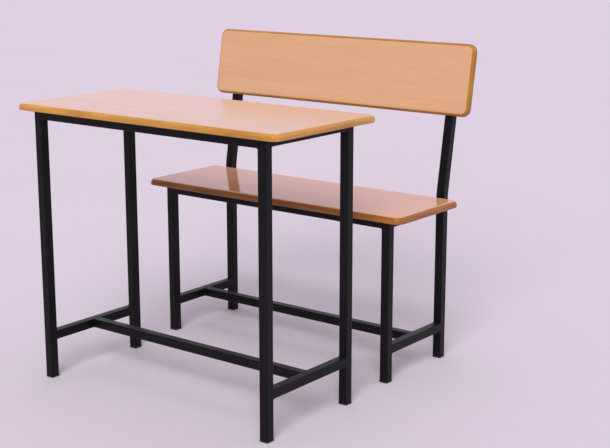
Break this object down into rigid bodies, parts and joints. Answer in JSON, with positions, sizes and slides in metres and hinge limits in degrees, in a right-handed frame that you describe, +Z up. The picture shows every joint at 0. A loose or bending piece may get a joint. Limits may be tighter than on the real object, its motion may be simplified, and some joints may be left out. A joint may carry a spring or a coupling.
{
  "type": "school desk with bench",
  "caption": "School desk set: a laminated writing desk on a black square-tube frame, and a separate matching bench with a seat board and a leaning backrest.",
  "frame": {"origin": "on the floor, under the middle of the box around desk and bench", "axes": "+X along the desk, to the right of someone looking from the desk towards the bench; +Y from the desk towards the bench; +Z up"},
  "size_m": [0.931, 0.9178, 0.9003],
  "materials": {
    "frame_enamel": "satin black enamel on steel tube",
    "face_laminate": "glossy beech-pattern laminate",
    "backing_laminate": "plain backing sheet",
    "board_core": "pressed wood board",
    "lipping_wood": "varnished hardwood",
    "plug_plastic": "moulded black plastic",
    "screw_steel": "zinc plated"
  },
  "bodies": {
    "desk": {"desk_foot_front_left": "plug_plastic", "desk_foot_front_right": "plug_plastic", "desk_foot_rear_left": "plug_plastic", "desk_foot_rear_right": "plug_plastic", "desk_leg_front_left": "frame_enamel", "desk_leg_front_right": "frame_enamel", "desk_leg_rear_left": "frame_enamel", "desk_leg_rear_right": "frame_enamel", "desk_rail_front": "frame_enamel", "desk_rail_left": "frame_enamel", "desk_rail_rear": "frame_enamel", "desk_rail_right": "frame_enamel", "desk_stretcher_left": "frame_enamel", "desk_stretcher_long": "frame_enamel", "desk_stretcher_right": "frame_enamel", "desk_top_backing": "backing_laminate", "desk_top_core": "board_core", "desk_top_laminate": "face_laminate", "desk_top_lipping_front": "lipping_wood", "desk_top_lipping_left": "lipping_wood", "desk_top_lipping_rear": "lipping_wood", "desk_top_lipping_right": "lipping_wood", "desk_top_screws": "screw_steel"},
    "bench": {"backrest_backing": "backing_laminate", "backrest_core": "board_core", "backrest_laminate": "face_laminate", "backrest_lipping_bottom": "lipping_wood", "backrest_lipping_left": "lipping_wood", "backrest_lipping_right": "lipping_wood", "backrest_lipping_top": "lipping_wood", "backrest_screws": "screw_steel", "bench_foot_front_left": "plug_plastic", "bench_foot_front_right": "plug_plastic", "bench_foot_rear_left": "plug_plastic", "bench_foot_rear_right": "plug_plastic", "bench_leg_left": "frame_enamel", "bench_leg_right": "frame_enamel", "bench_rail_front": "frame_enamel", "bench_rail_left": "frame_enamel", "bench_rail_rear": "frame_enamel", "bench_rail_right": "frame_enamel", "bench_stretcher_left": "frame_enamel", "bench_stretcher_long": "frame_enamel", "bench_stretcher_right": "frame_enamel", "bench_upright_cap_left": "plug_plastic", "bench_upright_cap_right": "plug_plastic", "bench_upright_left": "frame_enamel", "bench_upright_right": "frame_enamel", "seat_backing": "backing_laminate", "seat_core": "board_core", "seat_laminate": "face_laminate", "seat_lipping_front": "lipping_wood", "seat_lipping_left": "lipping_wood", "seat_lipping_rear": "lipping_wood", "seat_lipping_right": "lipping_wood", "seat_screws": "screw_steel"}
  },
  "joints": [
    {"name": "bench_slide", "type": "slide", "parent": "desk", "child": "bench", "axis": [0, 1, 0], "range_m": [-0.14, 0.4]}
  ]
}
